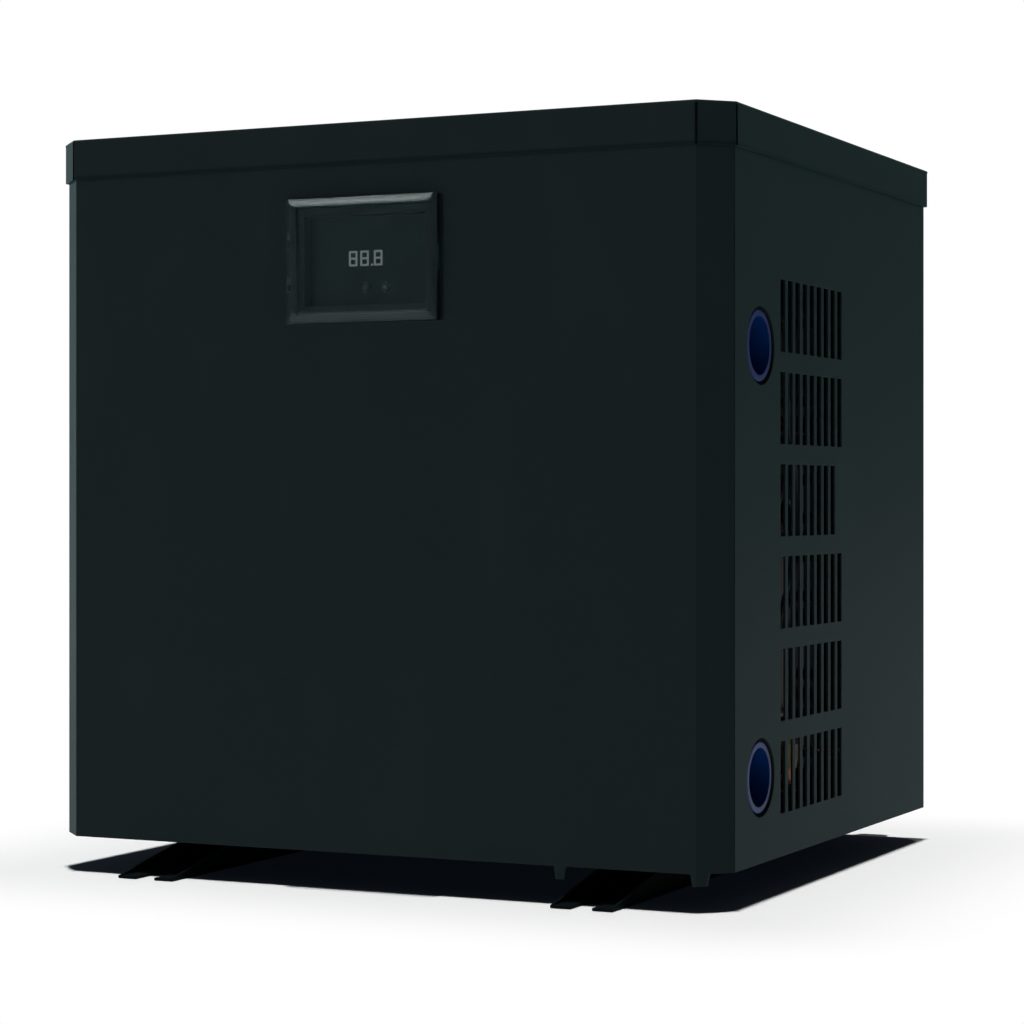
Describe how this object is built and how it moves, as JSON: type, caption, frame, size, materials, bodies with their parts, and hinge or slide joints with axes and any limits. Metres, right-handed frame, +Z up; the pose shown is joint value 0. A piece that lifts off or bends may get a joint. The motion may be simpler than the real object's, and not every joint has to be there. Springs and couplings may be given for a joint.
{
  "type": "pool heat pump",
  "caption": "Compact cube-shaped pool heat pump: chamfered sheet-metal case on foot rails, top fan, slotted sides, blue water sockets and a controller under a clear flip cover.",
  "frame": {"origin": "middle of the footprint, on the ground under the foot rails", "axes": "+X to the right towards the water sockets, +Y to the rear, +Z up; the controller faces -Y"},
  "size_m": [0.424, 0.391, 0.427],
  "materials": {
    "casing_paint": "satin powder coat, near-black blue-green",
    "rail_paint": "satin powder coat",
    "zinc_steel": "zinc-plated steel",
    "stainless": "stainless steel",
    "inner_paint": "dark coat on inner sheet metal",
    "fin_coating": "black corrosion-proof coat on aluminium fins",
    "guard_wire": "coated steel wire",
    "black_plastic": "moulded black plastic",
    "grey_plastic": "moulded grey plastic",
    "fan_plastic": "glass-filled moulding",
    "motor_paint": "painted motor housing",
    "capacitor_can": "drawn aluminium can",
    "copper": "drawn copper tube",
    "brass": "turned brass",
    "titanium": "titanium tube",
    "shell_plastic": "moulded pressure shell",
    "socket_blue": "blue moulded socket",
    "compressor_paint": "black enamel",
    "rubber": "moulded rubber",
    "board_green": "circuit board",
    "controller_plastic": "moulded dark plastic",
    "window_plastic": "smoked face plate",
    "digit_light": "unlit segments",
    "clear_plastic": "clear moulded plastic"
  },
  "bodies": {
    "casing": {"base_pan": "casing_paint", "front_panel": "casing_paint", "right_panel": "casing_paint", "left_panel": "casing_paint", "rear_panel": "casing_paint", "top_lid": "casing_paint", "casing_screws": "zinc_steel", "left_foot": "rail_paint", "right_foot": "rail_paint", "foot_bolts": "zinc_steel", "drain_spout": "black_plastic", "cable_gland": "black_plastic", "fan_guard": "guard_wire", "guard_screws": "zinc_steel", "fan_shroud": "black_plastic", "fan_motor": "motor_paint", "motor_bracket": "inner_paint", "lid_studs": "zinc_steel", "inner_screws": "zinc_steel", "evaporator_fins": "fin_coating", "evaporator_tube": "copper", "coil_end_plates": "inner_paint", "exchanger_shell": "shell_plastic", "exchanger_caps": "shell_plastic", "titanium_coil": "titanium", "lower_socket": "socket_blue", "upper_socket": "socket_blue", "flow_switch": "grey_plastic", "compressor": "compressor_paint", "compressor_mounts": "rubber", "compressor_studs": "zinc_steel", "terminal_cover": "black_plastic", "accumulator": "compressor_paint", "accumulator_strap": "zinc_steel", "discharge_pipe": "copper", "liquid_pipe": "copper", "filter_drier": "copper", "capillary": "copper", "suction_pipes": "copper", "service_pipe": "copper", "service_valve": "brass", "pressure_switch": "brass", "electrical_box": "inner_paint", "electrical_cover": "inner_paint", "control_board": "board_green", "run_capacitor": "capacitor_can", "terminal_block": "grey_plastic", "inner_leads": "rubber", "controller_frame": "controller_plastic", "controller_body": "controller_plastic", "controller_window": "window_plastic", "display_digits": "digit_light", "hinge_pins": "stainless"},
    "fan": {"fan_blades": "fan_plastic", "fan_shaft": "stainless", "fan_nut": "stainless"},
    "cover": {"clear_cover": "clear_plastic"},
    "left_key_cap": {"left_key": "rubber"},
    "right_key_cap": {"right_key": "rubber"},
    "paddle": {"flow_paddle": "grey_plastic"}
  },
  "joints": [
    {"name": "fan_spin", "type": "hinge", "parent": "casing", "child": "fan", "pos_m": [0, 0, 0.36], "axis": [0, 0, 1], "continuous": true},
    {"name": "cover_hinge", "type": "hinge", "parent": "casing", "child": "cover", "pos_m": [-0.0489, -0.18275, 0.3501], "axis": [0, 0, -1], "range_deg": [0, 110]},
    {"name": "left_key_press", "type": "slide", "parent": "casing", "child": "left_key_cap", "axis": [0, 1, 0], "range_m": [0, 0.0006], "stiffness_N_per_m": 800, "springref_m": -0.0005},
    {"name": "right_key_press", "type": "slide", "parent": "casing", "child": "right_key_cap", "axis": [0, 1, 0], "range_m": [0, 0.0006], "stiffness_N_per_m": 800, "springref_m": -0.0005},
    {"name": "paddle_swing", "type": "hinge", "parent": "casing", "child": "paddle", "pos_m": [0.166, -0.1225, 0.322], "axis": [0, -1, 0], "range_deg": [0, 20], "stiffness_Nm_per_rad": 0.004, "springref_deg": -5.73}
  ]
}
